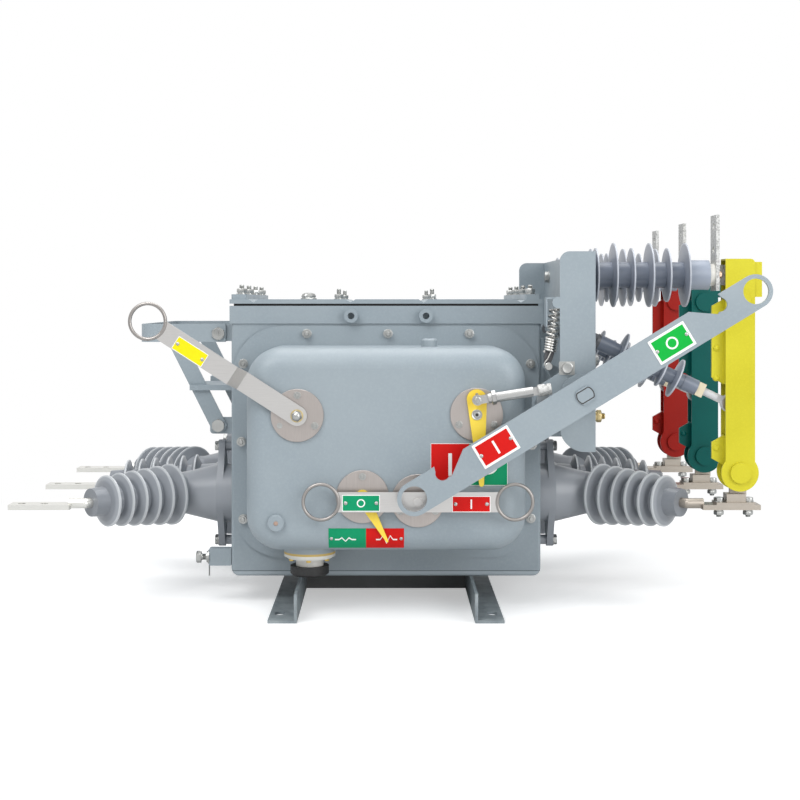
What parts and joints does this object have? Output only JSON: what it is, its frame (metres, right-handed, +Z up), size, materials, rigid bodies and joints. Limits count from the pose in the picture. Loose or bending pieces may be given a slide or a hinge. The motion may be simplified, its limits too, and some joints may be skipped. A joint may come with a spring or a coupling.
{
  "type": "pole-type gas insulated circuit breaker with isolating switch",
  "caption": "Grey steel tank breaker with ribbed bushings on both sides, a hand lever, pull-ring handles and a side-mounted isolating switch with coloured knife covers.",
  "frame": {"origin": "on the ground, at the centre of the four foot slots, under the middle of the tank", "axes": "+X right as seen from the mechanism side, +Y away from the mechanism side, +Z up"},
  "size_m": [1.333, 0.854, 0.7],
  "materials": {
    "body_paint": "semi-gloss blue-grey paint",
    "stainless": "brushed stainless sheet",
    "connector_alloy": "passivated alloy",
    "black_rubber": "black moulded rubber",
    "spring_steel": "zinc plated steel",
    "tinned_copper": "tinned copper bar",
    "pointer_yellow": "yellow enamel",
    "bushing_resin": "mid grey silicone and resin",
    "post_resin": "blue-grey silicone",
    "blade_copper": "silver plated copper",
    "cover_yellow": "yellow moulded cover",
    "cover_green": "green moulded cover",
    "cover_red": "red moulded cover"
  },
  "bodies": {
    "root": {"tank_body": "body_paint", "tank_lid": "body_paint", "lid_clamps": "body_paint", "lifting_bosses": "body_paint", "mechanism_cover": "body_paint", "cover_plugs": "body_paint", "earth_terminal": "body_paint", "foot_rail_left": "body_paint", "foot_rail_right": "body_paint", "cross_bars": "body_paint", "hanger_hoop": "body_paint", "hanger_lugs": "body_paint", "hanger_braces": "body_paint", "hanger_shelves": "body_paint", "isolator_frame": "body_paint", "frame_arms": "body_paint", "shaft_bearings": "body_paint", "dial_discs": "stainless", "connector_socket": "connector_alloy", "connector_cap": "black_rubber", "terminal_bars": "tinned_copper", "lower_contacts": "tinned_copper", "upper_terminals": "tinned_copper", "bushing_left_front": "bushing_resin", "bushing_right_front": "bushing_resin", "post_insulator_front": "post_resin", "bushing_left_middle": "bushing_resin", "bushing_right_middle": "bushing_resin", "post_insulator_middle": "post_resin", "bushing_left_rear": "bushing_resin", "bushing_right_rear": "bushing_resin", "post_insulator_rear": "post_resin"},
    "isolator_shaft": {"isolator_shaft": "body_paint", "operating_lever": "body_paint"},
    "toggle_spring": {"toggle_spring": "spring_steel"},
    "charging_handle": {"charging_handle": "stainless"},
    "trip_handle": {"trip_handle": "stainless"},
    "position_pointer": {"position_pointer": "pointer_yellow"},
    "charge_pointer": {"charge_pointer": "pointer_yellow"},
    "interlock_rod": {"interlock_rod": "spring_steel"},
    "interlock_crank": {"interlock_crank": "spring_steel"},
    "drive_front": {"drive_insulator_front": "post_resin"},
    "knife_front": {"knife_blade_front": "blade_copper", "knife_cover_front": "cover_yellow"},
    "drive_middle": {"drive_insulator_middle": "post_resin"},
    "knife_middle": {"knife_blade_middle": "blade_copper", "knife_cover_middle": "cover_green"},
    "drive_rear": {"drive_insulator_rear": "post_resin"},
    "knife_rear": {"knife_blade_rear": "blade_copper", "knife_cover_rear": "cover_red"}
  },
  "joints": [
    {"name": "isolator_lever", "type": "hinge", "parent": "root", "child": "isolator_shaft", "pos_m": [0.332, 0, 0.3905], "axis": [0, 1, 0], "range_deg": [0, 60]},
    {"name": "drive_front_swing", "type": "hinge", "parent": "isolator_shaft", "child": "drive_front", "pos_m": [0.35, -0.285, 0.488], "axis": [0, 1, 0], "range_deg": [-69, 0]},
    {"name": "knife_front_turn", "type": "hinge", "parent": "root", "child": "knife_front", "pos_m": [0.6255, -0.285, 0.244], "axis": [0, 1, 0], "range_deg": [0, 48]},
    {"name": "drive_middle_swing", "type": "hinge", "parent": "isolator_shaft", "child": "drive_middle", "pos_m": [0.35, 0, 0.488], "axis": [0, 1, 0], "range_deg": [-69, 0]},
    {"name": "knife_middle_turn", "type": "hinge", "parent": "root", "child": "knife_middle", "pos_m": [0.6255, 0, 0.244], "axis": [0, 1, 0], "range_deg": [0, 48]},
    {"name": "drive_rear_swing", "type": "hinge", "parent": "isolator_shaft", "child": "drive_rear", "pos_m": [0.35, 0.285, 0.488], "axis": [0, 1, 0], "range_deg": [-69, 0]},
    {"name": "knife_rear_turn", "type": "hinge", "parent": "root", "child": "knife_rear", "pos_m": [0.6255, 0.285, 0.244], "axis": [0, 1, 0], "range_deg": [0, 48]},
    {"name": "spring_swing", "type": "hinge", "parent": "root", "child": "toggle_spring", "pos_m": [0.295, -0.358, 0.545], "axis": [0, 1, 0], "range_deg": [-38, 0], "deforming": ["toggle_spring"]},
    {"name": "charging_handle_turn", "type": "hinge", "parent": "root", "child": "charging_handle", "pos_m": [-0.151, -0.402, 0.353], "axis": [0, 1, 0], "range_deg": [-90, 0]},
    {"name": "trip_handle_turn", "type": "hinge", "parent": "root", "child": "trip_handle", "pos_m": [0.054, -0.402, 0.208], "axis": [0, 1, 0], "range_deg": [-30, 30]},
    {"name": "position_pointer_turn", "type": "hinge", "parent": "root", "child": "position_pointer", "pos_m": [0.154, -0.402, 0.355], "axis": [0, 1, 0], "range_deg": [0, 40]},
    {"name": "interlock_rod_swing", "type": "hinge", "parent": "position_pointer", "child": "interlock_rod", "pos_m": [0.154, -0.425, 0.381], "axis": [0, 1, 0], "range_deg": [-40, 0]},
    {"name": "interlock_crank_turn", "type": "hinge", "parent": "root", "child": "interlock_crank", "pos_m": [0.265, -0.382, 0.372], "axis": [0, 1, 0], "range_deg": [0, 40]},
    {"name": "charge_pointer_turn", "type": "hinge", "parent": "root", "child": "charge_pointer", "pos_m": [-0.04, -0.402, 0.215], "axis": [0, 1, 0], "range_deg": [0, 50]}
  ],
  "couplings": [
    {"joint": "drive_front_swing", "follows": "isolator_lever", "ratio": -1.142},
    {"joint": "knife_front_turn", "follows": "isolator_lever", "ratio": 0.785},
    {"joint": "drive_middle_swing", "follows": "isolator_lever", "ratio": -1.142},
    {"joint": "knife_middle_turn", "follows": "isolator_lever", "ratio": 0.785},
    {"joint": "drive_rear_swing", "follows": "isolator_lever", "ratio": -1.142},
    {"joint": "knife_rear_turn", "follows": "isolator_lever", "ratio": 0.785},
    {"joint": "spring_swing", "follows": "isolator_lever", "ratio": -0.623},
    {"joint": "interlock_rod_swing", "follows": "position_pointer_turn", "ratio": -1},
    {"joint": "interlock_crank_turn", "follows": "position_pointer_turn", "ratio": 1}
  ]
}
